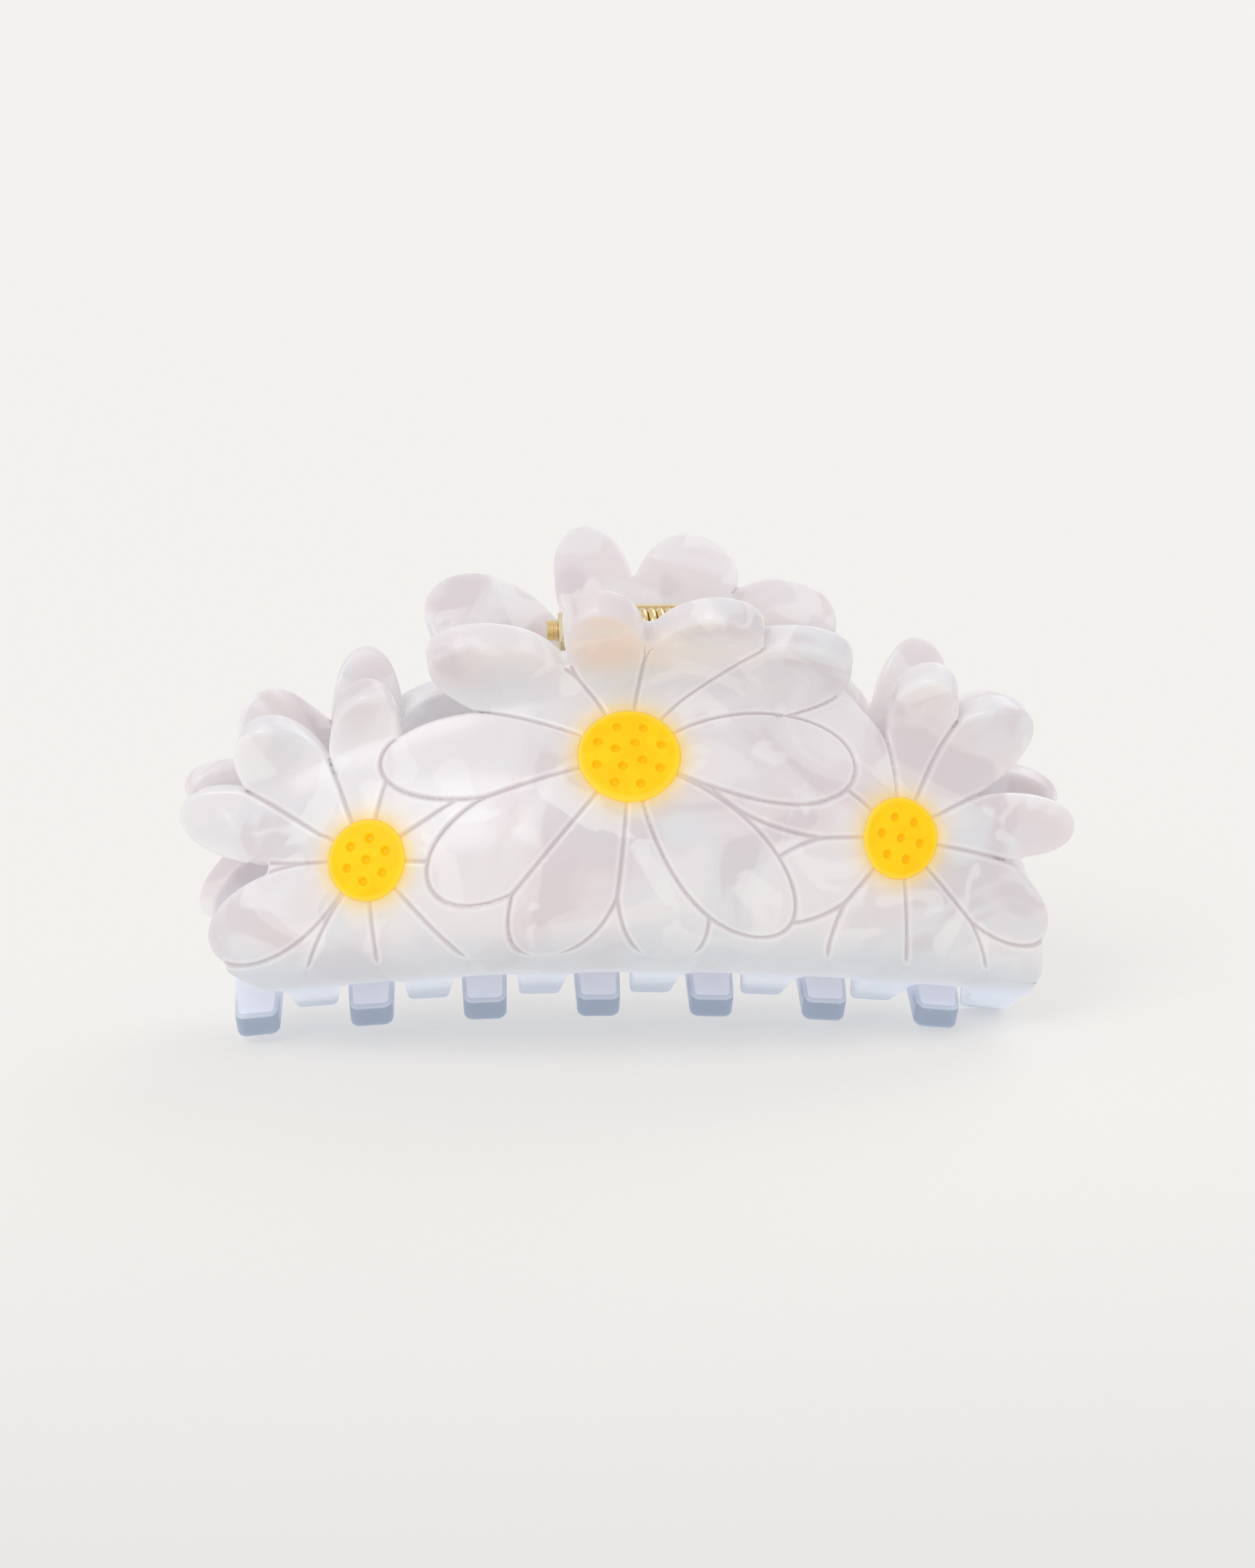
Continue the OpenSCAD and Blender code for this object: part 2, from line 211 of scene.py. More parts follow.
def outward(x, t):
    """Unit vector out of the front jaw's sheet."""
    d = 0.01
    n = np.cross(middle_of_sheet(x, t + d) - middle_of_sheet(x, t - d),
                 middle_of_sheet(x + d, t) - middle_of_sheet(x - d, t))
    return n / np.linalg.norm(n, axis=1)[:, None]


def on_sheet(x, t, height):
    """Point off the middle of the sheet by height, towards the outside."""
    return middle_of_sheet(x, t) + outward(x, t) * np.reshape(height, (-1, 1))


def station_len(x):
    """Length of sheet between two stations."""
    return END_STATION_LEN + MIDDLE_STATION_ADDED * (1 - (x / ARCH_HALF) ** 2)


def station(flat):
    return FLAT_ORIGIN_T - flat[:, 1] / station_len(flat[:, 0])


def flat_point(x, t):
    """The bent sheet laid flat: x, and the length of sheet above the origin's station."""
    x = np.asarray(x, float)
    return np.column_stack([x, (FLAT_ORIGIN_T - np.asarray(t, float)) * station_len(x)])


# ---------------------------------------------------------------- outlines on the flat sheet

def petal_outline(disc_r, petal, count=60):
    """A petal with a narrow root, a full belly and a round tip, as points round its edge."""
    angle, length, width, bend, belly = petal
    root = PETAL_ROOT * disc_r
    blunt = np.linspace(0.8, 8, 400)
    belly_of = (2 * PETAL_SHARPNESS / (blunt + 2 * PETAL_SHARPNESS)) ** (1 / blunt)
    power = np.interp(belly, belly_of, blunt)

    def swell(s):
        return s ** PETAL_SHARPNESS * np.sqrt(np.clip(1 - s ** power, 0, 1))

    turn = np.linspace(0, 2 * np.pi, count, endpoint=False)
    s = (1 - np.cos(turn)) / 2
    along = root + (length - root) * s
    aside = np.sign(np.sin(turn)) * width / 2 * swell(s) / swell(belly) + bend * s * s
    a = math.radians(angle)
    return (along[:, None] * np.array([math.cos(a), math.sin(a)])
            + aside[:, None] * np.array([-math.sin(a), math.cos(a)]))


def outline_distance(q, outline, reach=3.0):
    """Signed distance to a closed outline, negative inside. It is only rough beyond reach."""
    low, high = outline.min(0), outline.max(0)
    beyond = np.maximum(np.maximum(low - q, q - high), 0)
    result = np.hypot(beyond[:, 0], beyond[:, 1]) + 0.5
    near = result < reach
    p = q[near]
    best = np.full(len(p), 1e9)
    inside = np.zeros(len(p), bool)
    for a, b in zip(outline, np.roll(outline, -1, 0)):
        edge = b - a
        from_a = p - a
        f = np.clip(from_a @ edge / max(edge @ edge, 1e-12), 0, 1)
        gap = from_a - f[:, None] * edge
        best = np.minimum(best, gap[:, 0] ** 2 + gap[:, 1] ** 2)
        if a[1] != b[1]:
            spans = (a[1] > p[:, 1]) != (b[1] > p[:, 1])
            inside ^= spans & (p[:, 0] < a[0] + from_a[:, 1] * edge[0] / edge[1])
    result[near] = np.where(inside, -1, 1) * np.sqrt(best)
    return result


def soft_min(a, b, k):
    h = np.clip(0.5 + 0.5 * (b - a) / k, 0, 1)
    return b * (1 - h) + a * h - k * h * (1 - h)


def smooth_step(low, high, v):
    s = np.clip((v - low) / (high - low), 0, 1)
    return s * s * (3 - 2 * s)


def bell(v, middle, width):
    return np.exp(-((v - middle) / width) ** 2)


def tooth_distance(x, t, first_x):
    """Signed distance to the nearest tooth: it tapers towards a tip with round corners."""
    nearest = first_x + TOOTH_PITCH * np.clip(np.round((x - first_x) / TOOTH_PITCH),
                                              0, TOOTH_COUNT - 1)
    length = station_len(x)
    up = (TIP_T - t) * length
    taper = np.clip(up / ((TIP_T - SLOT_T) * length), 0, 1)
    half = (TOOTH_TIP_W + (TOOTH_ROOT_W - TOOTH_TIP_W) * taper) / 2
    side = np.abs(x - nearest) - half + TOOTH_CORNER
    end = TOOTH_CORNER - up
    d = np.hypot(np.maximum(side, 0), np.maximum(end, 0)) + np.minimum(np.maximum(side, end), 0)
    return np.maximum(d - TOOTH_CORNER, up - (TIP_T - SLOT_T + 0.6) * length)


BODY_POINTS = flat_point(*zip(*BODY_OUTLINE))
POCKET = 100


class Outline:
    """What one jaw is cut to: its petals in layers from the top, and its row of teeth."""

    def __init__(self, half):
        self.first_tooth_x = FIRST_TOOTH_X[half]
        self.petals, self.layers = [], [[], [], []]
        for number, flower in enumerate(FLOWERS):
            own_layer = 1 if number == MIDDLE else 2
            for layer, group in ((0, flower["over"]), (own_layer, flower["petals"])):
                for petal in group:
                    turn, added = BACK_CHANGES.get((flower["name"], petal[0]), (0, 0))
                    if half == "back":
                        petal = (petal[0] + turn, petal[1] + added) + petal[2:]
                    self.layers[layer].append(len(self.petals))
                    self.petals.append((flower, petal_outline(flower["disc_r"], petal)))
        self.layers = [np.array(columns) for columns in self.layers]


def disc_place(flower):
    """Middle of a flower's disc on the outside of the sheet, and the disc's axis."""
    x, t = np.array([flower["x"]]), np.array([flower["t"]])
    return on_sheet(x, t, SHEET_T / 2)[0], outward(x, t)[0]


def disc_distances(points):
    """Distance of space points to the edge of each disc's cylinder, negative inside."""
    result = []
    for flower in FLOWERS:
        middle, axis = disc_place(flower)
        away = points - middle
        away = away - (away @ axis)[:, None] * axis
        result.append(np.linalg.norm(away, axis=1) - flower["disc_r"])
    return np.column_stack(result)


class Field:
    """What the flat sheet is at a set of flat points: sheet is the distance to its outline,
    negative inside, line the distance to the nearest engraved line, cell the petal or pocket
    that a point is in, rise how far inside its petal it lies, and to_disc and in_pocket its
    distance to the nearest disc's and pocket's edge."""

    def __init__(self, flat, jaw, outline_only=False):
        x, t = flat[:, 0], station(flat)
        length = station_len(x)
        below_slots = (t - SLOT_T) * length
        petals = np.empty((len(x), len(jaw.petals)))
        ground = np.maximum(outline_distance(flat, BODY_POINTS), below_slots)
        for i, (flower, outline) in enumerate(jaw.petals):
            local = np.column_stack([x - flower["x"], (flower["t"] - t) * length])
            petals[:, i] = outline_distance(local, outline)
        for flower in FLOWERS:
            hub = np.hypot(x - flower["x"], (flower["t"] - t) * length) - flower["hub"]
            ground = soft_min(ground, hub, HUB_FILLET)
        self.sheet = ground
        for i in range(len(jaw.petals)):
            petal = np.maximum(petals[:, i], below_slots)
            self.sheet = soft_min(self.sheet, petal, PETAL_FILLET)
        flower = FLOWERS[MIDDLE]
        angle, distance, radius = flower["web"]
        web_x = flower["x"] + distance * math.cos(math.radians(angle))
        web_w = distance * math.sin(math.radians(angle))
        web = np.hypot(x - web_x, (flower["t"] - t) * length - web_w) - radius
        teeth = tooth_distance(x, t, jaw.first_tooth_x)
        self.sheet = soft_min(self.sheet, web, WEB_FILLET)
        self.sheet = soft_min(self.sheet, teeth, TOOTH_FILLET)
        if outline_only:
            return
        self.flat, self.t = flat, t
        whole = np.column_stack([petals, ground])
        order = np.argsort(whole, axis=1)[:, :2]
        rows = np.arange(len(x))
        first, second = whole[rows, order[:, 0]], whole[rows, order[:, 1]]
        self.cell = np.zeros(len(x), int)
        self.line = np.full(len(x), NO_LINE)
        self.rise = np.zeros(len(x))
        open_ = np.ones(len(x), bool)
        for columns in jaw.layers:
            group = np.sort(petals[:, columns], axis=1)
            top = columns[np.argmin(petals[:, columns], axis=1)]
            s1, s2 = group[:, 0], group[:, 1]
            rest = np.where(order[:, 0] == top, second, first)
            # A petal's edge is a line only where it lies well inside the rest of the sheet
            edge = np.abs(s1) + 3 * np.maximum(0, rest + 0.3)
            inside = open_ & (s1 < 0)
            self.line = np.where(open_, np.minimum(self.line, edge), self.line)
            self.line = np.where(inside, np.minimum(self.line, (s2 - s1) / 2), self.line)
            self.cell = np.where(inside, top + 1, self.cell)
            self.rise = np.where(inside, -s1, self.rise)
            open_ &= ~inside
        surface = on_sheet(x, t, SHEET_T / 2)
        discs = disc_distances(surface)
        self.to_disc = discs.min(1)
        self.in_pocket = self.to_disc - POCKET_PLAY
        self.cell = np.where(self.in_pocket < 0, POCKET + np.argmin(discs, axis=1), self.cell)


# ---------------------------------------------------------------- triangles over the flat sheet

def triangle_grid(low, high, step):
    rows = int((high[1] - low[1]) / (step * ROW_SHARE)) + 2
    columns = int((high[0] - low[0]) / step) + 2
    j, i = np.meshgrid(np.arange(rows), np.arange(columns), indexing="ij")
    flat = np.column_stack([(low[0] + step * (i + 0.5 * (j % 2))).ravel(),
                            (low[1] + step * ROW_SHARE * j).ravel()])
    a = (j[:-1, :-1] * columns + i[:-1, :-1]).ravel()
    odd = (j[:-1, :-1] % 2).ravel() == 1
    b, c, d = a + 1, a + columns, a + columns + 1
    even_pair = np.concatenate([np.column_stack([a, b, c]), np.column_stack([b, d, c])])
    odd_pair = np.concatenate([np.column_stack([a, d, c]), np.column_stack([a, b, d])])
    twice = np.concatenate([odd, odd])
    return flat, np.where(twice[:, None], odd_pair, even_pair)


def edge_numbers(pairs, total):
    """Numbers each pair's edge, and gives one pair for each number."""
    key = pairs.min(1) * total + pairs.max(1)
    unique, first, number = np.unique(key, return_index=True, return_inverse=True)
    return number, pairs[first]


def rotated(triangles, first):
    """Turns each triangle so that its corner numbered first comes first."""
    rows = np.arange(len(triangles))[:, None]
    return triangles[rows, (first[:, None] + np.arange(3)) % 3]


def to_level(flat, level, jaw, rounds=3):
    """Moves flat points along the outline's gradient until they are at that distance from it."""
    d = 0.03
    for _ in range(rounds):
        here = Field(flat, jaw, outline_only=True).sheet
        slope = np.column_stack([
            (Field(flat + move, jaw, outline_only=True).sheet - here) / d
            for move in ((d, 0), (0, d))])
        size = np.maximum((slope ** 2).sum(1), 0.3)
        step = ((level - here) / size)[:, None] * slope
        flat = flat + np.clip(step, -0.5, 0.5)
    return flat


def inside_outline(flat, triangles, jaw):
    """Keeps the part of the grid that lies further inside the outline than its rounded edge."""
    value = Field(flat, jaw, outline_only=True).sheet + OUTER_ROUND
    out = value >= 0
    corners = out[triangles]
    whole = triangles[~corners.any(1)]
    mixed = triangles[corners.any(1) & ~corners.all(1)]
    outs = out[mixed].sum(1)
    one_in = rotated(mixed[outs == 2], np.argmin(out[mixed[outs == 2]], axis=1))
    one_out = rotated(mixed[outs == 1], np.argmax(out[mixed[outs == 1]], axis=1))
    pairs = np.concatenate([one_in[:, [0, 1]], one_in[:, [0, 2]],
                            one_out[:, [0, 1]], one_out[:, [0, 2]]])
    number, ends = edge_numbers(pairs, len(flat))
    va, vb = value[ends[:, 0]], value[ends[:, 1]]
    share = np.clip(va / (va - vb), 0.1, 0.9)[:, None]
    cut = to_level(flat[ends[:, 0]] * (1 - share) + flat[ends[:, 1]] * share,
                   -OUTER_ROUND, jaw)
    number += len(flat)
    n, m = len(one_in), len(one_out)
    c01, c02 = number[:n], number[n:2 * n]
    d01, d02 = number[2 * n:2 * n + m], number[2 * n + m:]
    triangles = np.concatenate([
        whole,
        np.column_stack([one_in[:, 0], c01, c02]),
        np.column_stack([d01, one_out[:, 1], one_out[:, 2]]),
        np.column_stack([d01, one_out[:, 2], d02])])
    flat = np.concatenate([flat, cut])
    used, triangles = np.unique(triangles, return_inverse=True)
    return flat[used], triangles.reshape(-1, 3)


def split_at_lines(flat, triangles, jaw):
    """Cuts the triangles along the engraved lines and round the pockets.
    Gives the points, the triangles, each triangle's cell, and the field with exact lines."""
    field = Field(flat, jaw)
    cells = field.cell[triangles]
    same01, same12, same20 = (cells[:, k] == cells[:, (k + 1) % 3] for k in range(3))
    kept = same01 & same12
    three = ~same01 & ~same12 & ~same20
    two = ~kept & ~three
    odd = np.where(same12, 0, np.where(same20, 1, 2))[two]
    pair = rotated(triangles[two], odd)
    trio = triangles[three]
    pairs = np.concatenate([pair[:, [0, 1]], pair[:, [0, 2]],
                            trio[:, [0, 1]], trio[:, [1, 2]], trio[:, [2, 0]]])
    number, ends = edge_numbers(pairs, len(flat))
    a, b = ends.T
    pocket = (field.cell[a] >= POCKET) | (field.cell[b] >= POCKET)
    da = np.where(pocket, np.abs(field.in_pocket[a]), np.abs(field.line[a]))
    db = np.where(pocket, np.abs(field.in_pocket[b]), np.abs(field.line[b]))
    share = np.clip(da / np.maximum(da + db, 1e-9), 0.12, 0.88)[:, None]
    cut = flat[a] * (1 - share) + flat[b] * share
    centre = flat[trio].mean(1)
    number += len(flat)
    n, m = len(pair), len(trio)
    c01, c02 = number[:n], number[n:2 * n]
    t01, t12, t20 = (number[2 * n + k * m:2 * n + (k + 1) * m] for k in range(3))
    mid = len(flat) + len(cut) + np.arange(m)
    v0, v1, v2 = trio.T
    parts = [
        (triangles[kept], cells[kept][:, 0]),
        (np.column_stack([pair[:, 0], c01, c02]), field.cell[pair[:, 0]]),
        (np.column_stack([c01, pair[:, 1], pair[:, 2]]), field.cell[pair[:, 1]]),
        (np.column_stack([c01, pair[:, 2], c02]), field.cell[pair[:, 1]])]
    for v, after, before in ((v0, t01, t20), (v1, t12, t01), (v2, t20, t12)):
        parts.append((np.column_stack([v, after, mid]), field.cell[v]))
        parts.append((np.column_stack([v, mid, before]), field.cell[v]))
    all_flat = np.concatenate([flat, cut, centre])
    result = Field(all_flat, jaw)
    start = len(flat)
    result.line[start:start + len(cut)][~pocket] = 0
    result.line[start + len(cut):] = 0
    return (all_flat, np.concatenate([p[0] for p in parts]),
            np.concatenate([p[1] for p in parts]), result)


def border(triangles):
    """Directed edges that only one triangle has."""
    edges = np.concatenate([triangles[:, [0, 1]], triangles[:, [1, 2]], triangles[:, [2, 0]]])
    total = triangles.max() + 1
    key, back = edges[:, 0] * total + edges[:, 1], edges[:, 1] * total + edges[:, 0]
    return edges[~np.isin(key, back)]


# ---------------------------------------------------------------- meshes

def mesh_from(name, points, faces, values=None, sharp=math.radians(50)):
    """A smooth object from points in millimetres, with named values at its points."""
    mesh = bpy.data.meshes.new(name)
    mesh.from_pydata((np.asarray(points) * MM).tolist(), [], [list(map(int, f)) for f in faces])
    mesh.validate()
    for key, value in (values or {}).items():
        layer = mesh.attributes.new(key, "FLOAT", "POINT")
        layer.data.foreach_set("value", np.asarray(value, np.float32))
    mesh.shade_smooth()
    mesh.set_sharp_from_angle(angle=sharp)
    obj = bpy.data.objects.new(name, mesh)
    bpy.context.scene.collection.objects.link(obj)
    return obj


def outer_height(field):
    """How far the outside lies off the middle of the sheet: petals swell between grooves."""
    fade = 1 - smooth_step(*GROOVE_FADE, field.t)
    dome = PETAL_DOME * np.exp(-np.maximum(field.rise, 0) / PETAL_DOME_REACH)
    groove = GROOVE_DEPTH * (1 - smooth_step(0, GROOVE_HALF, field.line))
    return SHEET_T / 2 - (dome + groove) * fade


def surface_values(field, outside, wall=0.0):
    """Values that the pearl material reads: line is the distance to a groove, glow the yellow
    light round a disc, cool the blue lower edge, block the teeth, and the next four, in order,
    the painted shade on the teeth's undersides, the painted light on their inside, the painted
    shade on their dark ends, and the painted warm light on the petal beside the hinge. outside
    says which face of the sheet the points are on, and wall how far round its edge they lie."""
    t, x = field.t, field.flat[:, 0]
    fade = 1 - smooth_step(*LINE_FADE, t)
    line = np.where(outside, np.minimum(field.line, FAR_FROM_LINE), FAR_FROM_LINE)
    glow = np.exp(-(np.maximum(field.to_disc, 0) / 1.3) ** 1.3)
    teeth = smooth_step(*BLOCK_FADE, t)
    hinge_light_x = bell(x, *HINGE_LIGHT_CORE) + 0.25 * bell(x, *HINGE_LIGHT_WIDE)
    return {
        "line": FAR_FROM_LINE - (FAR_FROM_LINE - line) * fade,
        "glow": glow * (1.0 if outside else 0.35),
        "cool": smooth_step(*COOL_FADE, t),
        "block": teeth,
        "under": smooth_step(*UNDERSIDE_SHADE_FADE, t) * (1.0 if outside else 0.0),
        "inner_light": teeth * (0.0 if outside else 1.0),
        "end_shade": wall * smooth_step(*END_SHADE_FADE, t),
        "hinge_light": hinge_light_x * bell(t, *HINGE_LIGHT_T) * (1.0 if outside else 0.0),
    }


def build_jaw(name, jaw, flip):
    """One jaw: outside with engraved petals and pockets, rounded edge, and plain inside."""
    flat, triangles = inside_outline(*triangle_grid(GRID_LOW, GRID_HIGH, STEP), jaw)
    flat, triangles, cells, field = split_at_lines(flat, triangles, jaw)
    rim_edges = border(triangles)
    points, faces, values = [], [], []

    def add(new_points, new_values):
        start = sum(len(p) for p in points)
        points.append(new_points)
        values.append(new_values)
        return start

    def place(f, height):
        return on_sheet(f.flat[:, 0], f.t, height)

    # Outside, with the triangles inside the pockets put on the pockets' floors
    outside = add(place(field, outer_height(field)), surface_values(field, True))
    in_pocket = cells >= POCKET
    faces.append(triangles[~in_pocket] + outside)
    for number, flower in enumerate(FLOWERS):
        own = triangles[cells == POCKET + number]
        used, local = np.unique(own, return_inverse=True)
        axis = disc_place(flower)[1]
        floor = on_sheet(flat[used, 0], field.t[used], SHEET_T / 2) - DISC_SUNK * axis
        start = add(floor, {k: v[used] for k, v in surface_values(field, False).items()})
        local = local.reshape(-1, 3)
        faces.append(local + start)
        ring = border(local)
        up = used[ring] + outside
        faces.append(np.column_stack([ring[:, 1] + start, ring[:, 0] + start, up[:, 0], up[:, 1]]))

    # Plain inside
    inner = np.full(len(flat), -SHEET_T / 2)
    inside = add(place(field, inner), surface_values(field, False))
    faces.append(triangles[:, ::-1] + inside)

    # Rounded edge, from the outside round to the inside
    rim, loop = np.unique(rim_edges, return_inverse=True)
    loop = loop.reshape(-1, 2)
    rings, spot = [], flat[rim]
    for turn in ROUND_TURNS:
        spot = to_level(spot, -OUTER_ROUND * (1 - math.sin(turn)), jaw, 2)
        rings.append((spot, turn))
    chain = [rim + outside]
    for spot, turn in rings:
        at = Field(spot, jaw)
        height = outer_height(at) - OUTER_ROUND * (1 - math.cos(turn))
        wall = 0.35 if turn < ROUND_TURNS[-1] else 1.0
        start = add(place(at, height), surface_values(at, True, wall))
        chain.append(np.arange(len(rim)) + start)
    for spot, turn in reversed(rings):
        at = Field(spot, jaw)
        height = np.full(len(rim), -SHEET_T / 2 + INNER_ROUND * (1 - math.cos(turn)))
        wall = 0.5 if turn < ROUND_TURNS[-1] else 1.0
        start = add(place(at, height), surface_values(at, False, wall))
        chain.append(np.arange(len(rim)) + start)
    chain.append(rim + inside)
    for one, two in zip(chain, chain[1:]):
        a, b = loop.T
        faces.append(np.column_stack([one[b], one[a], two[a], two[b]]))

    points = np.concatenate(points)
    points[:, 2] = np.maximum(points[:, 2], 0)
    values = {k: np.concatenate([v[k] for v in values]) for k in values[0]}
    lists = [f for group in faces for f in group.tolist()]
    if flip:
        points = points * (1, -1, 1)
        lists = [f[::-1] for f in lists]
    return mesh_from(name, points, lists, values)


def bend_under_disc(flower, u, v, right, upward):
    """Height of the outside over the disc's plane, at right u and upward v from its middle."""
    middle, axis = disc_place(flower)
    x = flower["x"] + u
    t = flower["t"] - v / station_len(np.array(flower["x"]))
    for _ in range(8):
        away = on_sheet(x, t, SHEET_T / 2) - middle
        x = x - (away @ right - u)
        t = t + (away @ upward - v) / station_len(x)
    return (on_sheet(x, t, SHEET_T / 2) - middle) @ axis


def build_disc(name, flower, flip):
    """A yellow centre that follows the bend, with a soft rim and drilled dimples."""
    r = flower["disc_r"]
    large = flower is FLOWERS[MIDDLE]
    dimples = []
    for count, ring_r, offset in MIDDLE_DIMPLE_RINGS if large else SIDE_DIMPLE_RINGS:
        for k in range(count):
            a = math.radians(flower["dimple"] + offset + 360 * k / count)
            dimples.append((ring_r * math.cos(a), ring_r * math.sin(a)))
    around = 220
    ring_gap = 0.09
    turn = np.linspace(0, 2 * np.pi, around, endpoint=False)
    inner = np.linspace(0.1, r - DISC_ROUND, int((r - DISC_ROUND) / ring_gap))
    bends = np.radians(np.linspace(15, 90, 6))
    radii = np.concatenate([inner, r - DISC_ROUND + DISC_ROUND * np.sin(bends), [r - DISC_PLAY]])
    drop = np.concatenate([0 * inner, DISC_ROUND * (1 - np.cos(bends)),
                           [DISC_PROUD + DISC_THICK]])
    u, v = np.outer(radii, np.cos(turn)), np.outer(radii, np.sin(turn))
    middle, axis = disc_place(flower)
    right = np.array([1.0, 0, 0]) - axis * axis[0]
    right /= np.linalg.norm(right)
    upward = np.cross(right, axis)
    if upward[2] < 0:
        upward = -upward
    top = np.arange(len(radii)) < len(radii) - 1
    well = np.zeros_like(u)
    for du, dv in dimples:
        away = np.hypot(u - du, v - dv)
        well = np.maximum(well, 1 - smooth_step(DIMPLE_R - 0.22, DIMPLE_R + 0.1, away))
    bend = bend_under_disc(flower, u.ravel(), v.ravel(), right, upward).reshape(u.shape)
    height = DISC_PROUD - drop[:, None] - DIMPLE_DEPTH * well * top[:, None] + bend
    middle_top = DISC_PROUD - (0 if large else DIMPLE_DEPTH)
    local = np.concatenate([np.column_stack([u.ravel(), v.ravel(), height.ravel()]),
                            [[0, 0, middle_top], [0, 0, -DISC_THICK]]])
    points = middle + local[:, :1] * right + local[:, 1:2] * upward + local[:, 2:] * axis
    rows, n = len(radii), around
    k = np.arange(n)
    k2 = (k + 1) % n
    faces = []
    for j in range(rows - 1):
        one, two = j * n, (j + 1) * n
        faces += np.column_stack([one + k, two + k, two + k2, one + k2]).tolist()
    faces += np.column_stack([np.full(n, rows * n), k, k2]).tolist()
    last = (rows - 1) * n
    faces += np.column_stack([last + k2, last + k, np.full(n, rows * n + 1)]).tolist()
    edge = np.append(np.repeat(radii / r, n), [0, 1])
    wells = np.append(well.ravel(), [0, 0])
    handed = np.dot(np.cross(right, upward), axis) > 0
    if flip:
        points = points * (1, -1, 1)
    if handed == flip:
        faces = [f[::-1] for f in faces]
    return mesh_from(name, points, faces, {"rim": edge, "well": wells}, math.radians(65))


def slab(name, outlines, x_from, x_to, bevel):
    """A plate cut from outlines of (y, z) points, the first solid and the others holes."""
    curve = bpy.data.curves.new(name, "CURVE")
    curve.dimensions = "2D"
    curve.fill_mode = "BOTH"
    curve.extrude = ((x_to - x_from) / 2 - bevel) * MM
    curve.bevel_depth = bevel * MM
    curve.bevel_resolution = 3
    curve.offset = -bevel * MM
    for outline in outlines:
        path = curve.splines.new("POLY")
        path.points.add(len(outline) - 1)
        for point, (y, z) in zip(path.points, outline):
            point.co = (y * MM, z * MM, 0, 1)
        path.use_cyclic_u = True
    obj = bpy.data.objects.new(name, curve)
    bpy.context.scene.collection.objects.link(obj)
    bpy.context.view_layer.update()
    evaluated = obj.evaluated_get(bpy.context.evaluated_depsgraph_get())
    mesh = bpy.data.meshes.new_from_object(evaluated)
    co = np.empty(len(mesh.vertices) * 3)
    mesh.vertices.foreach_get("co", co)
    co = co.reshape(-1, 3) / MM
    faces = [list(p.vertices) for p in mesh.polygons]
    bpy.data.objects.remove(obj)
    return np.column_stack([co[:, 2] + (x_from + x_to) / 2, co[:, 0], co[:, 1]]), faces


def joined(name, parts, sharp=math.radians(40)):
    points, faces, start = [], [], 0
    for part_points, part_faces in parts:
        points.append(np.asarray(part_points, float))
        faces += [[int(i) + start for i in f] for f in part_faces]
        start += len(part_points)
    return mesh_from(name, np.concatenate(points), faces, sharp=sharp)


def circle_points(y, z, r, count=48, start=0.0):
    a = np.linspace(start, start + 2 * np.pi, count, endpoint=False)
    return list(zip(y + r * np.cos(a), z + r * np.sin(a)))


def tube_faces(rings, around):
    """Faces of a closed tube: four-sided ones between its rings, and one at each end."""
    faces = []
    for j in range(rings - 1):
        one, two = j * around, (j + 1) * around
        for k in range(around):
            m = (k + 1) % around
            faces.append([one + k, one + m, two + m, two + k])
    faces.append(list(range(around))[::-1])
    faces.append([(rings - 1) * around + k for k in range(around)])
    return faces


def lathe(profile, x, y, z, along, count=48):
    """A closed turned solid: profile of (radius, distance) from x, y, z along a unit vector."""
    along = np.array(along, float)
    side = np.cross(along, (0, 0, 1) if abs(along[2]) < 0.9 else (1, 0, 0))
    side /= np.linalg.norm(side)
    other = np.cross(along, side)
    a = np.linspace(0, 2 * np.pi, count, endpoint=False)
    ring = np.outer(np.cos(a), side) + np.outer(np.sin(a), other)
    base = np.array([x, y, z], float)
    points = [base + along * d + ring * r for r, d in profile]
    return np.concatenate(points), tube_faces(len(profile), count)


def build_leaf(name, ear_out, flip):
    """A stamped leaf: a plate on the sheet, and two ears that hold the pin."""
    sign = 1 if flip else -1
    bottom, top = PIN_Z - LEAF_BELOW, PIN_Z + LEAF_ABOVE
    low_x, high_x = HINGE_X - ear_out, HINGE_X + ear_out
    arc = np.radians(np.arange(90, -70, -12))
    ear = [(-LEAF_Y, bottom + EAR_STEP), (-LEAF_Y, top - EAR_STEP)]
    ear += [(KNUCKLE_R * math.cos(a), PIN_Z + KNUCKLE_R * math.sin(a)) for a in arc]
    ear = [(y * -sign, z) for y, z in ear]
    hole = circle_points(0, PIN_Z, PIN_D / 2 + PIN_PLAY + 0.02)
    parts = []
    for x_from in (low_x, high_x - LEAF_T):
        parts.append(slab("ear", [ear, hole], x_from, x_from + LEAF_T, LEAF_BEVEL))
    corner = LEAF_CORNER
    plate = []
    for cx, cz, start in ((high_x - corner, top - corner, 0), (low_x + corner, top - corner, 90),
                          (low_x + corner, bottom + corner, 180),
                          (high_x - corner, bottom + corner, 270)):
        for degrees in range(start, start + 91, 15):
            a = math.radians(degrees)
            plate.append((cx + corner * math.cos(a), cz + corner * math.sin(a)))
    plate_points, plate_faces = slab("plate", [plate], 0, LEAF_T, LEAF_BEVEL)
    y = sign * (LEAF_Y - plate_points[:, 0])
    plate_points = np.column_stack([plate_points[:, 1], y, plate_points[:, 2]])
    parts.append((plate_points, plate_faces))
    prong = [(0.6, 0), (0.6, 1.6), (0.45, 1.98)]
    prong_y = sign * (LEAF_Y - LEAF_T / 2)
    for i in (-1, 0, 1):
        parts.append(lathe(prong, HINGE_X + PRONG_STEP * i, prong_y, PIN_Z - PRONG_BELOW,
                           (0, sign, 0), 24))
    leaf = joined(name, parts)
    fix_normals(leaf)
    return leaf


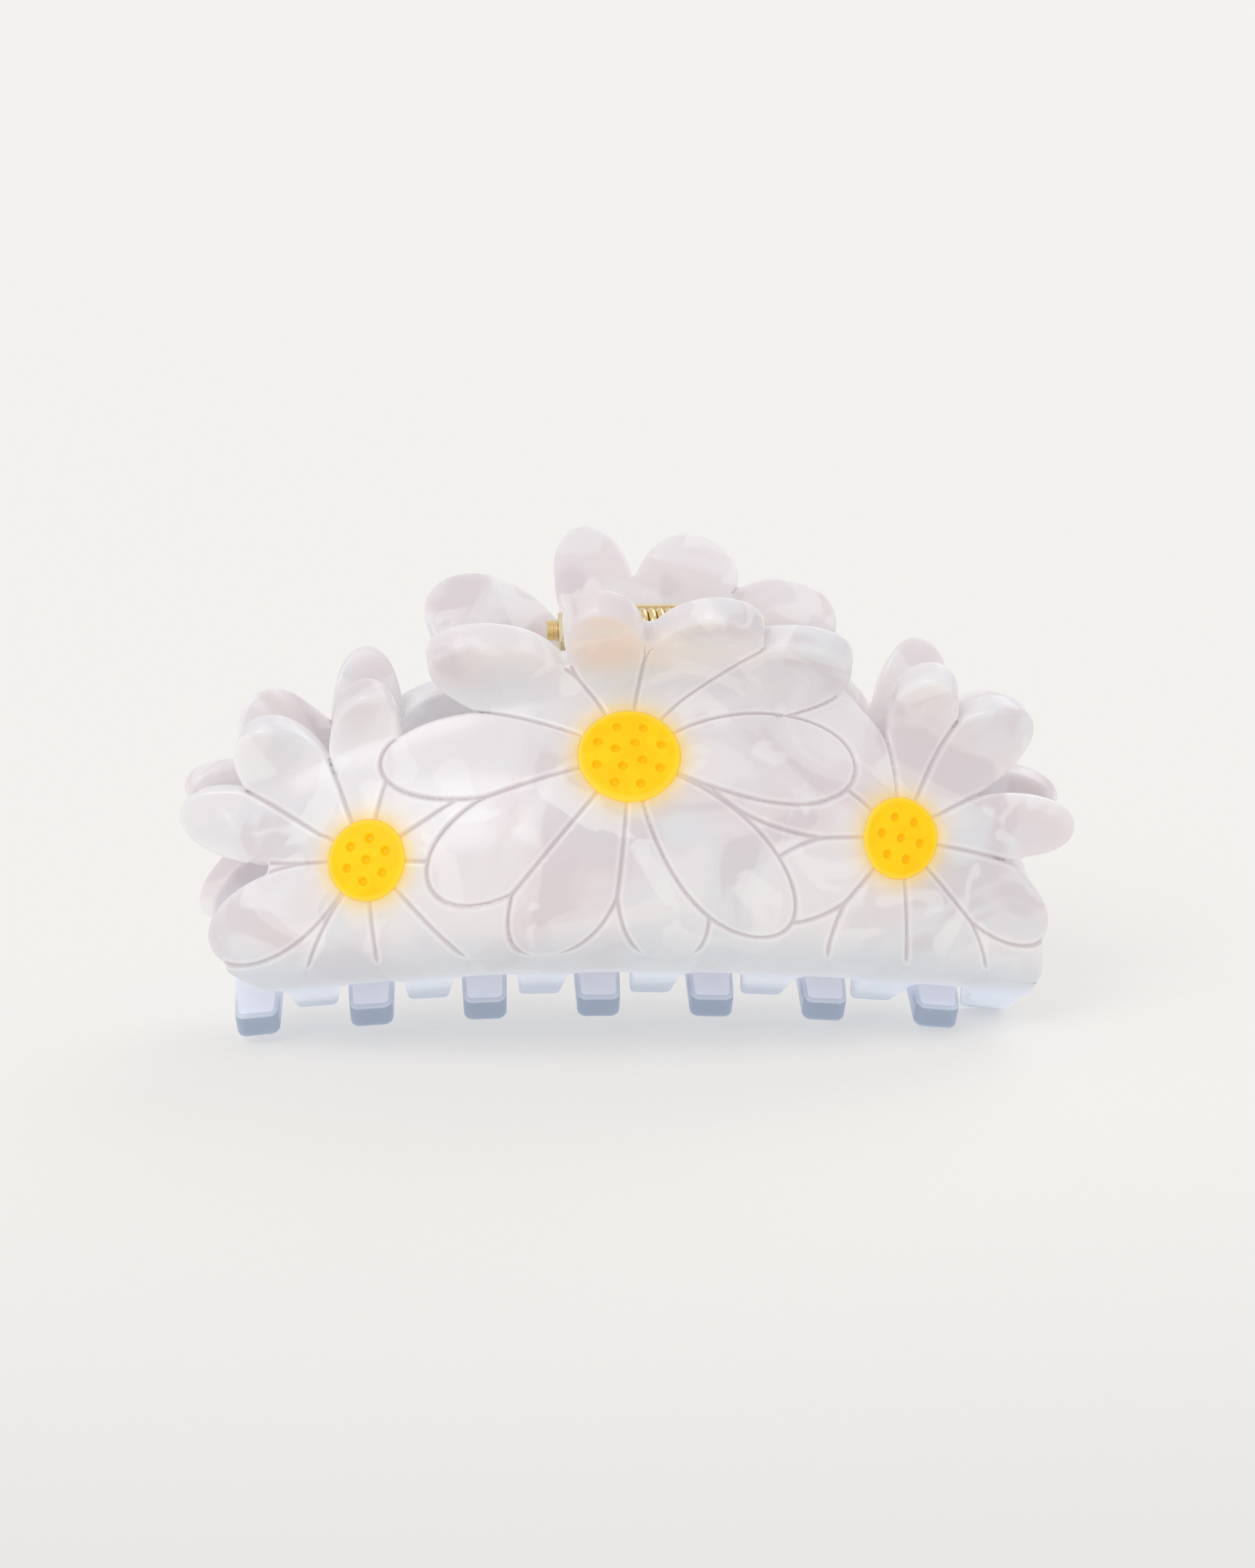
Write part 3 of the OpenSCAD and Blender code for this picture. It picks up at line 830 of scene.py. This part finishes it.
def fix_normals(obj):
    """Merges points in the same place, and turns all faces outwards."""
    bm = bmesh.new()
    bm.from_mesh(obj.data)
    bmesh.ops.remove_doubles(bm, verts=bm.verts, dist=1e-7)
    bmesh.ops.recalc_face_normals(bm, faces=bm.faces)
    bm.to_mesh(obj.data)
    bm.free()


def build_pin():
    """The shaft through the ears and the coil, with chamfered ends."""
    half = FRONT_EAR_OUT + CAP_GAP + CAP_LEN - PIN_SUNK
    r, chamfer = PIN_D / 2 - 0.005, 0.12
    profile = [(r - chamfer, 0), (r, chamfer), (r, 2 * half - chamfer), (r - chamfer, 2 * half)]
    return joined("pin_shaft", [lathe(profile, HINGE_X - half, 0, PIN_Z, (1, 0, 0))])


def build_caps():
    """Two caps on the pin's ends, with turned ribs and a domed end."""
    rib, edge = CAP_LEN / CAP_RIBS, 0.04
    parts = []
    for side in (-1, 1):
        profile = [(PIN_D / 2 + 0.02, 0)]
        for i in range(CAP_RIBS):
            r = CAP_R - 0.02 if i % 2 == 0 else CAP_R - CAP_GROOVE
            profile += [(r - edge, i * rib), (r, i * rib + edge), (r, (i + 1) * rib - edge),
                        (r - edge, (i + 1) * rib)]
        profile += [(CAP_R - 0.25, CAP_LEN), (0.3, CAP_LEN)]
        cap_x = HINGE_X + side * (FRONT_EAR_OUT + CAP_GAP)
        parts.append(lathe(profile, cap_x, 0, PIN_Z, (side, 0, 0)))
    caps = joined("ribbed_caps", parts)
    fix_normals(caps)
    return caps


def build_spring():
    """Round wire: a leg on the back leaf, the coil, and a leg on the front leaf."""
    per_turn, sides = ((28, 12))
    count = COIL_TURNS * per_turn
    half_len = COIL_TURNS * SPRING_PITCH / 2
    rest_y = LEAF_Y - LEAF_T - WIRE_D / 2 - 0.02
    # A leg's points: distance in from the coil's end, distance from the pin, height over it
    leg = np.array([(3.5, rest_y, 0.9), (2.6, rest_y, 0.9), (1.4, rest_y, 0.9),
                    (0.6, rest_y - 0.1, 0.92), (0.12, rest_y - 0.6, 1.1), (0.0, 4.2, 1.5),
                    (0, COIL_R + 0.6, COIL_R - 0.3), (0, COIL_R - 0.6, COIL_R - 0.08)])
    turn = np.arange(count + 1) / per_turn * 2 * np.pi + np.pi / 2
    coil = np.column_stack([HINGE_X + (np.arange(count + 1) / count - 0.5) * 2 * half_len,
                            COIL_R * np.cos(turn), PIN_Z + COIL_R * np.sin(turn)])

    def leg_at(side):
        x = HINGE_X + side * (half_len - leg[:, 0])
        return np.column_stack([x, -side * leg[:, 1], PIN_Z + leg[:, 2]])

    path = np.concatenate([leg_at(-1), coil, leg_at(1)[::-1]])
    ahead = np.vstack([path[1:], path[-1:]]) - np.vstack([path[:1], path[:-1]])
    ahead /= np.linalg.norm(ahead, axis=1)[:, None]
    out = path - np.column_stack([path[:, 0], np.zeros(len(path)), np.full(len(path), PIN_Z)])
    side = out - (out * ahead).sum(1)[:, None] * ahead
    side /= np.linalg.norm(side, axis=1)[:, None]
    up = np.cross(ahead, side)
    a = np.linspace(0, 2 * np.pi, sides, endpoint=False)
    rings = (path[:, None, :] + WIRE_D / 2 * (np.cos(a)[None, :, None] * side[:, None, :]
                                              + np.sin(a)[None, :, None] * up[:, None, :]))
    spring = joined("coil_spring", [(rings.reshape(-1, 3), tube_faces(len(path), sides))])
    fix_normals(spring)
    return spring


# ---------------------------------------------------------------- materials

def srgb(r, g, b):
    """Linear colour from display values of 0 to 255."""
    def lin(c):
        c /= 255
        return c / 12.92 if c <= 0.04045 else ((c + 0.055) / 1.055) ** 2.4
    return (lin(r), lin(g), lin(b), 1)


class Nodes:
    """Builds a material's node tree."""

    def __init__(self, name):
        self.material = bpy.data.materials.new(name)
        self.material.use_nodes = True
        self.tree = self.material.node_tree
        self.shader = self.tree.nodes["Principled BSDF"]

    def add(self, kind, inputs=None, **settings):
        node = self.tree.nodes.new(kind)
        for key, value in settings.items():
            setattr(node, key, value)
        for key, value in (inputs or {}).items():
            if isinstance(value, bpy.types.NodeSocket):
                self.tree.links.new(value, node.inputs[key])
            else:
                node.inputs[key].default_value = value
        return node

    def math(self, operation, *values, clamp=False):
        return self.add("ShaderNodeMath", dict(enumerate(values)), operation=operation,
                        use_clamp=clamp).outputs[0]

    def ramp(self, value, low, high, out_low=0.0, out_high=1.0):
        return self.add("ShaderNodeMapRange", {0: value, 1: low, 2: high, 3: out_low, 4: out_high},
                        interpolation_type="SMOOTHSTEP").outputs[0]

    def mix(self, factor, a, b, blend="MIX"):
        node = self.add("ShaderNodeMix", {0: factor}, data_type="RGBA", blend_type=blend)
        for key, value in ((6, a), (7, b)):
            if isinstance(value, bpy.types.NodeSocket):
                self.tree.links.new(value, node.inputs[key])
            else:
                node.inputs[key].default_value = value
        return node.outputs[2]

    def value(self, name):
        return self.add("ShaderNodeAttribute", attribute_name=name).outputs["Fac"]

    def place(self):
        """Position on the object, in millimetres."""
        where = self.add("ShaderNodeTexCoord").outputs["Object"]
        return self.add("ShaderNodeVectorMath", {0: where, 3: 1 / MM}, operation="SCALE").outputs[0]

    def noise(self, vector, scale, detail=3.0, distortion=0.0, roughness=0.5):
        return self.add("ShaderNodeTexNoise", {
            "Vector": vector, "Scale": scale, "Detail": detail, "Roughness": roughness,
            "Distortion": distortion}).outputs["Fac"]

    def bump(self, height, strength, distance, normal=None):
        inputs = {"Height": height, "Strength": strength, "Distance": distance * MM}
        if normal is not None:
            inputs["Normal"] = normal
        return self.add("ShaderNodeBump", inputs).outputs[0]

    def link(self, name, socket):
        self.tree.links.new(socket, self.shader.inputs[name])

    def set(self, **values):
        for key, value in values.items():
            self.shader.inputs[key.replace("_", " ")].default_value = value


def pearl_material():
    n = Nodes("pearl_acetate")
    where = n.place()
    cloud = n.noise(where, 0.045, 2, 0.8)
    swirl = n.noise(where, 0.07, 2, 1.3, 0.4)
    patch = n.noise(where, 0.11, 2, 0.9, 0.4)
    colour = n.mix(n.ramp(cloud, 0.38, 0.62), srgb(226, 217, 218), srgb(222, 223, 225))
    colour = n.mix(n.ramp(swirl, 0.5, 0.62, 0, 0.75), colour, srgb(232, 229, 229))
    colour = n.mix(n.ramp(swirl, 0.46, 0.37, 0, 0.6), colour, srgb(210, 200, 203))
    colour = n.mix(n.ramp(patch, 0.545, 0.6, 0, 0.5), colour, srgb(240, 239, 238))
    # Painted warm light: the gold hinge showing through the sheet, on the petal beside it
    colour = n.mix(n.math("MULTIPLY", n.value("hinge_light"), 0.5), colour, srgb(236, 206, 184))
    colour = n.mix(n.math("MULTIPLY", n.value("cool"), 0.6), colour, srgb(196, 207, 216))
    colour = n.mix(n.math("MULTIPLY", n.value("block"), 0.8), colour, srgb(212, 219, 233))
    # Painted shade: the teeth's undersides darker blue
    colour = n.mix(n.math("MULTIPLY", n.value("under"), 0.8), colour, srgb(176, 192, 212))
    # Painted shade: the ends of the teeth dark blue-grey
    colour = n.mix(n.value("end_shade"), colour, srgb(156, 171, 190))
    line = n.value("line")
    # Painted highlight: a pale line along each shoulder of a groove
    edge = n.math("MULTIPLY", n.ramp(line, 0.24, 0.42), n.ramp(line, 0.85, 0.48))
    colour = n.mix(n.math("MULTIPLY", edge, 0.3), colour, srgb(245, 242, 242))
    colour = n.mix(n.ramp(line, 0.36, 0.1, 0, 0.5), colour, srgb(196, 183, 186))
    glow = n.value("glow")
    colour = n.mix(n.math("MULTIPLY", glow, 0.8, clamp=True), colour, srgb(255, 218, 96))
    n.link("Base Color", colour)
    # Painted light: the pearl glows a little all over to lift its shade, as light through the sheet
    # would, more on the teeth's blocks and inside, less on their undersides and ends
    lit = n.mix(n.value("block"), (0.1, 0.092, 0.094, 1), (0.14, 0.152, 0.18, 1))
    lit = n.mix(n.value("under"), lit, (0.08, 0.09, 0.11, 1))
    lit = n.mix(n.value("inner_light"), lit, (0.2, 0.2, 0.215, 1))
    n.link("Emission Color", n.mix(n.value("end_shade"), lit, (0.05, 0.055, 0.07, 1)))
    n.link("Roughness", n.ramp(swirl, 0.3, 0.7, 0.36, 0.24))
    grain = n.math("MULTIPLY", n.noise(where, 0.5, 2), n.ramp(n.value("block"), 0.0, 1.0, 1.0, 0.0))
    fine = n.bump(grain, 0.06, 0.3)
    n.link("Normal", n.bump(n.ramp(line, GROOVE_HALF, 0.0), 0.15, 0.2, fine))
    n.set(Emission_Strength=1.0, Subsurface_Weight=0.45, Subsurface_Radius=(1.0, 0.85, 0.8),
          Subsurface_Scale=3.0 * MM, Coat_Weight=0.15, Coat_Roughness=0.14, IOR=1.5)
    return n.material


def yellow_material():
    n = Nodes("yellow_acetate")
    where = n.place()
    cloud = n.noise(where, 0.3, 3, 0.8)
    colour = n.mix(n.ramp(cloud, 0.35, 0.65), srgb(255, 203, 0), srgb(255, 212, 6))
    # Painted light: paler yellow towards the rim, blending into the glow
    colour = n.mix(n.ramp(n.value("rim"), 0.84, 1.0, 0, 0.8), colour, srgb(255, 222, 80))
    # Painted shade: darker yellow in the dimples
    colour = n.mix(n.math("MULTIPLY", n.value("well"), 0.7), colour, srgb(252, 192, 0))
    n.link("Base Color", colour)
    n.link("Roughness", n.ramp(cloud, 0.3, 0.7, 0.38, 0.5))
    n.link("Normal", n.bump(n.noise(where, 1.2, 3), 0.06, 0.15))
    # Painted light: the disc glows a little, though it is no lamp
    n.set(Subsurface_Weight=0.15, Subsurface_Radius=(1.0, 0.6, 0.1), Subsurface_Scale=1.5 * MM,
          Specular_IOR_Level=0.25, Emission_Color=(1.0, 0.58, 0.0, 1), Emission_Strength=0.16)
    return n.material


def gold_material(name, tint, rough):
    n = Nodes(name)
    where = n.place()
    wear = n.noise(where, 0.9, 4, 0.5)
    scratch = n.add("ShaderNodeVectorMath", {0: where, 1: (0.6, 6.0, 6.0)},
                    operation="MULTIPLY").outputs[0]
    streak = n.noise(scratch, 1.0, 3)
    worn = tuple(min(1, c * 1.12) for c in tint)
    n.link("Base Color", n.mix(n.ramp(wear, 0.35, 0.7), tint, worn))
    n.link("Roughness", n.ramp(streak, 0.3, 0.7, rough - 0.06, rough + 0.1))
    n.link("Normal", n.bump(streak, 0.08, 0.05))
    n.set(Metallic=1.0)
    return n.material


def floor_material():
    """Pale paper, a little darker in front of the clip."""
    n = Nodes("floor_paper")
    where = n.place()
    grain = n.noise(where, 0.8, 4)
    towards_viewer = n.add("ShaderNodeSeparateXYZ", {0: where}).outputs[1]
    # Painted shade: the floor darker towards the viewer; painted light: the floor glows, which lifts
    # the clip's shadow on it
    shade = n.ramp(towards_viewer, -20, -240)
    colour = n.mix(grain, srgb(196, 194, 190), srgb(200, 198, 194))
    n.link("Base Color", n.mix(shade, colour, srgb(184, 183, 180)))
    n.link("Emission Color", n.mix(shade, (0.93, 0.91, 0.88, 1), (0.79, 0.785, 0.76, 1)))
    n.link("Normal", n.bump(grain, 0.05, 0.1))
    n.set(Roughness=0.9, Emission_Strength=0.4)
    return n.material


# ---------------------------------------------------------------- pieces

def paint(obj, material):
    obj.data.materials.clear()
    obj.data.materials.append(material)
    return obj


def put(obj, body, slot, material, *nodes):
    """Paints a piece, and sets the body that it moves with and the CAD nodes that it replaces."""
    paint(obj, material)
    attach(obj, body)
    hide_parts(*nodes)


def make_pieces():
    pearl, yellow = pearl_material(), yellow_material()
    leaf_gold = gold_material("leaf_gold", srgb(250, 232, 196), 0.3)
    pin_gold = gold_material("pin_gold", srgb(246, 220, 160), 0.3)
    spring_gold = gold_material("spring_gold", srgb(246, 222, 168), 0.24)
    for half, flip in (("front", False), ("back", True)):
        body = half + "_half"
        put(build_jaw(half + "_sheet", Outline(half), flip), body, "pearl", pearl, half + "_jaw")
        for flower in FLOWERS:
            place = half + "_" + flower["name"]
            put(build_disc(place + "_centre", flower, flip), body, "yellow", yellow, place + "_disc")
    put(build_leaf("front_leaf", FRONT_EAR_OUT, False), "front_half", "gold_leaf", leaf_gold,
        "front_hinge_leaf")
    put(build_leaf("back_leaf", BACK_EAR_OUT, True), "back_half", "gold_leaf", leaf_gold,
        "back_hinge_leaf")
    put(build_pin(), "back_half", "gold_pin", pin_gold, "hinge_pin")
    put(build_caps(), "back_half", "gold_pin", pin_gold, "pin_caps")
    spring = paint(build_spring(), spring_gold)
    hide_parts("torsion_spring")
    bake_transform(spring)


# ---------------------------------------------------------------- stage, light and camera

def make_camera():
    target = Vector((0, 0, 0.0313))
    azimuth, elevation, distance = math.radians(-3.05), math.radians(15), 0.5
    level = math.cos(elevation)
    back = Vector((math.sin(azimuth) * level, -math.cos(azimuth) * level, math.sin(elevation)))
    data = bpy.data.cameras.new("camera")
    data.lens = 93.506
    data.clip_start, data.clip_end = 0.01, 20
    camera = bpy.data.objects.new("camera", data)
    camera.location = target + back * distance
    camera.rotation_mode = "QUATERNION"
    camera.rotation_quaternion = (-back).to_track_quat("-Z", "Y")
    bpy.context.scene.collection.objects.link(camera)
    bpy.context.scene.camera = camera


def area_light(name, place, size, power):
    data = bpy.data.lights.new(name, "AREA")
    data.shape = "DISK"
    data.size = size
    data.energy = power
    light = bpy.data.objects.new(name, data)
    light.location = place
    light.rotation_mode = "QUATERNION"
    light.rotation_quaternion = (Vector((0, 0, 0.03)) - Vector(place)).to_track_quat("-Z", "Y")
    bpy.context.scene.collection.objects.link(light)


def sun(name, towards, power, spread, colour):
    """Soft light that is as strong everywhere, from the direction of towards."""
    data = bpy.data.lights.new(name, "SUN")
    data.energy = power
    data.angle = math.radians(spread)
    data.color = colour
    light = bpy.data.objects.new(name, data)
    light.rotation_mode = "QUATERNION"
    light.rotation_quaternion = Vector(towards).to_track_quat("Z", "Y")
    bpy.context.scene.collection.objects.link(light)


def make_stage():
    half = 6.0
    corners = [(-half, -half, 0), (half, -half, 0), (half, half, 0), (-half, half, 0)]
    mesh = bpy.data.meshes.new("floor")
    mesh.from_pydata(corners, [], [(0, 1, 2, 3)])
    floor = bpy.data.objects.new("floor", mesh)
    bpy.context.scene.collection.objects.link(floor)
    paint(floor, floor_material())
    world = bpy.data.worlds.new("studio")
    world.use_nodes = True
    background = world.node_tree.nodes["Background"]
    background.inputs["Color"].default_value = (0.96, 0.965, 1.0, 1)
    background.inputs["Strength"].default_value = 0.70
    bpy.context.scene.world = world
    bpy.context.scene.view_settings.view_transform = "Standard"
    sun("key", (-0.45, -0.62, 0.75), 0.6, 32, (1, 0.985, 0.96))
    sun("fill", (0.5, 0.7, 0.8), 0.42, 40, (1, 1, 1))
    area_light("window", (-0.35, -0.35, 0.42), 0.4, 0.06)


make_camera()
make_pieces()
make_stage()
